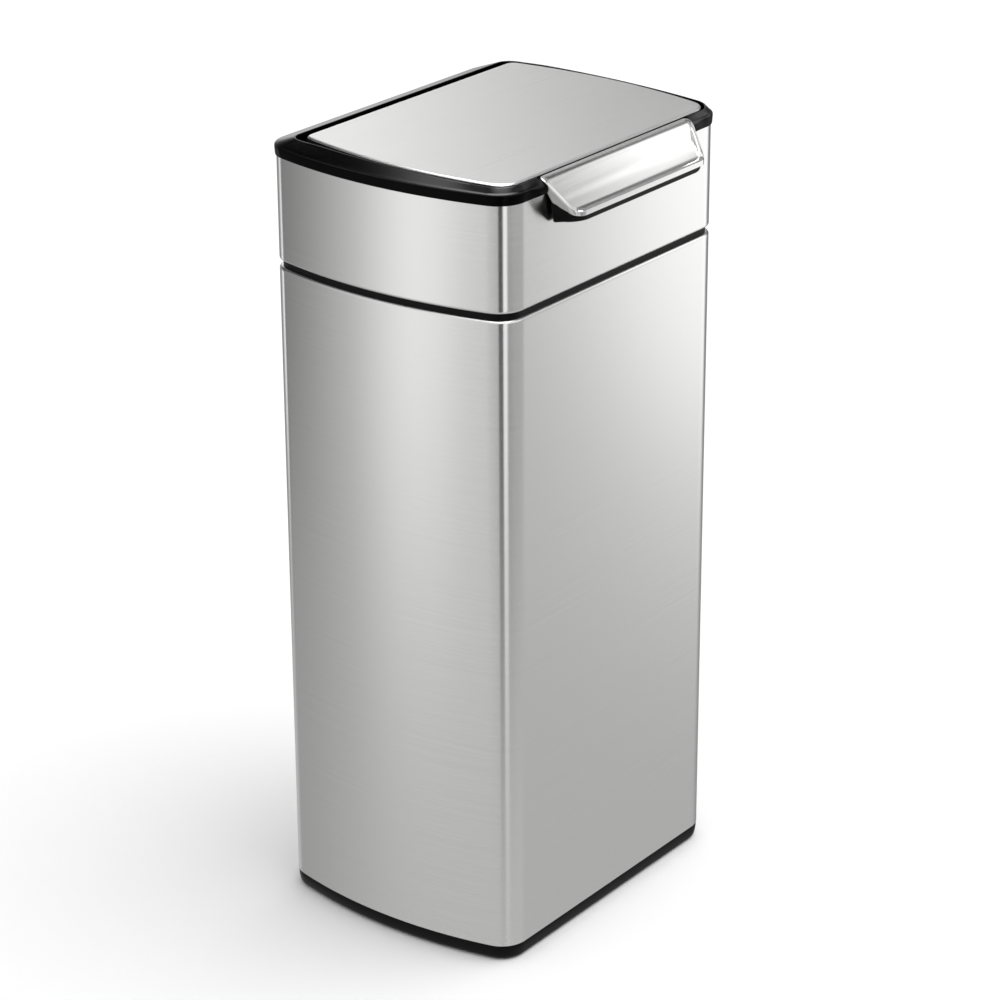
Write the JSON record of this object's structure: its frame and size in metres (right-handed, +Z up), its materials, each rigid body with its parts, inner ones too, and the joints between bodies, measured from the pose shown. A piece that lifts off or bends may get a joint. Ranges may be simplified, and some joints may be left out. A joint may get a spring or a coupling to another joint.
{
  "type": "touch bar kitchen bin",
  "caption": "Tall steel kitchen bin with bowed sides, a tip-up collar, a black bezel and a hinged lid that a sloping front touch bar lets go.",
  "frame": {"origin": "middle of the underside of the base, on the floor", "axes": "+Z up, -Y towards the front with the touch bar, +X to the right as seen from the front"},
  "size_m": [0.324, 0.2705, 0.6811],
  "materials": {
    "brushed_steel": "brushed stainless steel sheet, fine grain",
    "black_satin": "black moulded plastic, satin gloss",
    "black_plastic": "black moulded plastic, matt",
    "zinc_steel": "zinc plated steel",
    "spring_steel": "bare spring wire and strip",
    "rubber": "soft black rubber",
    "natural_plastic": "unpainted white engineering plastic"
  },
  "bodies": {
    "bin": {"base_tray": "black_plastic", "body_shell": "brushed_steel", "seam_ring": "black_plastic", "collar_hinge_pins": "zinc_steel"},
    "collar": {"collar_band": "brushed_steel", "collar_frame": "black_plastic", "bezel": "black_satin", "bezel_screws": "zinc_steel", "hinge_bracket_left": "zinc_steel", "hinge_bracket_right": "zinc_steel", "bracket_screws": "zinc_steel", "lid_hinge_pins": "zinc_steel", "lid_springs": "spring_steel", "damper_housing": "black_plastic", "lid_bumpers": "rubber", "bar_pivot_pins": "zinc_steel", "bar_springs": "spring_steel", "latch_spring": "spring_steel", "latch_screws": "zinc_steel"},
    "lid": {"lid_panel": "brushed_steel", "lid_tray": "black_plastic", "lid_striker": "zinc_steel"},
    "touch_bar": {"bar_skin": "brushed_steel", "bar_core": "black_plastic"},
    "damper_rotor": {"damper_pinion": "natural_plastic"}
  },
  "joints": [
    {"name": "collar_hinge", "type": "hinge", "parent": "bin", "child": "collar", "pos_m": [0, 0.1205, 0.5721], "axis": [-1, 0, 0], "range_deg": [0, 80]},
    {"name": "lid_hinge", "type": "hinge", "parent": "collar", "child": "lid", "pos_m": [0, 0.0781, 0.6719], "axis": [-1, 0, 0], "range_deg": [0, 80], "deforming": ["lid_springs", "latch_spring"]},
    {"name": "bar_press", "type": "hinge", "parent": "collar", "child": "touch_bar", "pos_m": [0, -0.108, 0.644], "axis": [1, 0, 0], "range_deg": [0, 5], "stiffness_Nm_per_rad": 1, "springref_deg": -5.73, "deforming": ["bar_springs"]},
    {"name": "damper_turn", "type": "hinge", "parent": "collar", "child": "damper_rotor", "pos_m": [-0.105, 0.06325, 0.65705], "axis": [-1, 0, 0], "range_deg": [-257, 1]}
  ],
  "couplings": [
    {"joint": "damper_turn", "follows": "lid_hinge", "ratio": -3.2}
  ]
}
